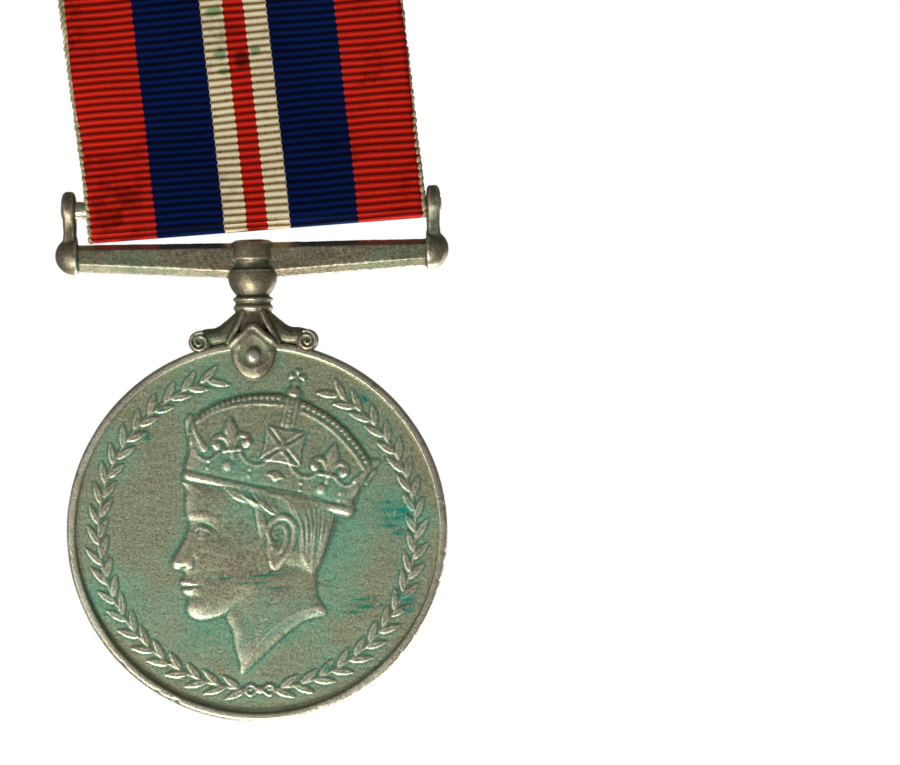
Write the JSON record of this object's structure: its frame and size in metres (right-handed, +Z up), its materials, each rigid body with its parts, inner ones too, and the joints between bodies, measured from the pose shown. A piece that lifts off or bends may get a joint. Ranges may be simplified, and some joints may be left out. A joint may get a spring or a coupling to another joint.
{
  "type": "service medal",
  "caption": "Round struck medal with a raised rim, hung by a riveted claw and a straight-bar suspender from a folded, striped ribbon on a pin brooch.",
  "frame": {"origin": "on the axis of the brooch pin, straight above the middle of the ribbon rod", "axes": "+Z up along the hanging medal, -Y out of the obverse, +X to the right as the obverse is seen"},
  "size_m": [0.0381, 0.0062, 0.0827],
  "materials": {
    "disc_metal": "tarnished cupro-nickel, grey with green patina in the recesses",
    "suspender_metal": "cast cupro-nickel, brown-grey, handled smooth",
    "rivet_metal": "rubbed bright nickel silver",
    "rod_metal": "drawn wire with green spots",
    "ribbon_cloth": "corded silk ribbon in red, navy and cream stripes",
    "brooch_metal": "dull nickel plate",
    "pin_metal": "polished spring wire"
  },
  "bodies": {
    "ribbon_and_brooch": {"ribbon": "ribbon_cloth", "brooch_bar": "brooch_metal", "hinge_lug": "brooch_metal", "hinge_rivet": "brooch_metal", "catch": "brooch_metal"},
    "rod": {"ribbon_rod": "rod_metal"},
    "medal": {"suspender": "suspender_metal", "disc": "disc_metal", "claw_rivet": "rivet_metal"},
    "pin": {"brooch_pin": "pin_metal"}
  },
  "joints": [
    {"name": "ribbon_sway", "type": "hinge", "parent": "ribbon_and_brooch", "child": "rod", "pos_m": [0, -0.0023, -0.02908], "axis": [0, -1, 0], "range_deg": [0, 6.9]},
    {"name": "medal_swing", "type": "hinge", "parent": "rod", "child": "medal", "pos_m": [0, -0.0023, -0.02908], "axis": [1, 0, 0], "range_deg": [-120, 120]},
    {"name": "pin_opening", "type": "hinge", "parent": "ribbon_and_brooch", "child": "pin", "pos_m": [-0.01643, 0, -0.00124], "axis": [-0.075, 0, 0.9972], "range_deg": [0, 75]}
  ]
}
